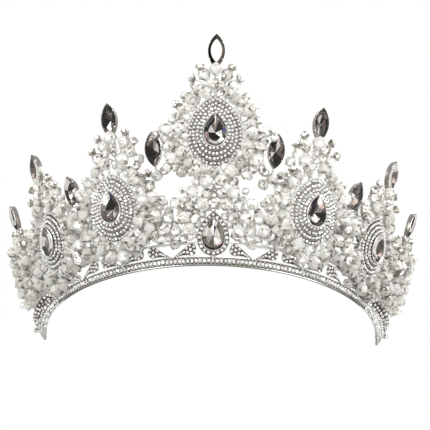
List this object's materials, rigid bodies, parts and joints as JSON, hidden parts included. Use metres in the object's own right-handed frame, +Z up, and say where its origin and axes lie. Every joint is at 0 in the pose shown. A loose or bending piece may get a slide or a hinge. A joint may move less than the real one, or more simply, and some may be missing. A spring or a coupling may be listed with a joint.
{
  "type": "bridal tiara",
  "caption": "Half-ring bridal tiara: pavé band, pear medallions in faceted bead sprays and upright navette stones.",
  "frame": {"origin": "bottom centre of the overall box, on the surface that the band stands on", "axes": "+Z up, -Y out of the front of the tiara, +X to the wearer's left"},
  "size_m": [0.1922, 0.1134, 0.0939],
  "materials": {
    "silver": "polished",
    "crystal": "faceted",
    "rhinestone": "faceted, foil backed",
    "smoky_stone": "faceted, foil backed"
  },
  "bodies": {
    "root": {"band": "silver", "band_stones": "rhinestone", "end_tip_left": "silver", "end_tip_right": "silver", "fret_left": "silver", "fret_right": "silver", "fret_stones_left": "rhinestone", "fret_stones_right": "rhinestone", "rear_wire": "silver", "drop_frame": "silver", "drop_pave": "rhinestone", "drop_stone": "smoky_stone", "medallion_center": "silver", "medallion_inner_left": "silver", "medallion_inner_right": "silver", "medallion_outer_left": "silver", "medallion_outer_right": "silver", "pave_center": "rhinestone", "pave_inner_left": "rhinestone", "pave_inner_right": "rhinestone", "pave_outer_left": "rhinestone", "pave_outer_right": "rhinestone", "stone_center": "smoky_stone", "stone_inner_left": "smoky_stone", "stone_inner_right": "smoky_stone", "stone_outer_left": "smoky_stone", "stone_outer_right": "smoky_stone", "wires_center": "silver", "wires_inner_left": "silver", "wires_inner_right": "silver", "wires_outer_left": "silver", "wires_outer_right": "silver", "beads_center": "crystal", "beads_inner_left": "crystal", "beads_inner_right": "crystal", "beads_outer_left": "crystal", "beads_outer_right": "crystal", "crest_cup_center": "silver", "crest_cup_inner_left": "silver", "crest_cup_inner_right": "silver", "crest_cup_outer_left": "silver", "crest_cup_outer_right": "silver", "crest_center": "smoky_stone", "crest_inner_left": "smoky_stone", "crest_inner_right": "smoky_stone", "crest_outer_left": "smoky_stone", "crest_outer_right": "smoky_stone", "valley_cup_left": "silver", "valley_cup_right": "silver", "valley_left": "smoky_stone", "valley_right": "smoky_stone", "side_cup_left": "silver", "side_cup_right": "silver", "side_left": "smoky_stone", "side_right": "smoky_stone", "end_cup_left": "silver", "end_cup_right": "silver", "end_left": "smoky_stone", "end_right": "smoky_stone"}
  },
  "joints": []
}
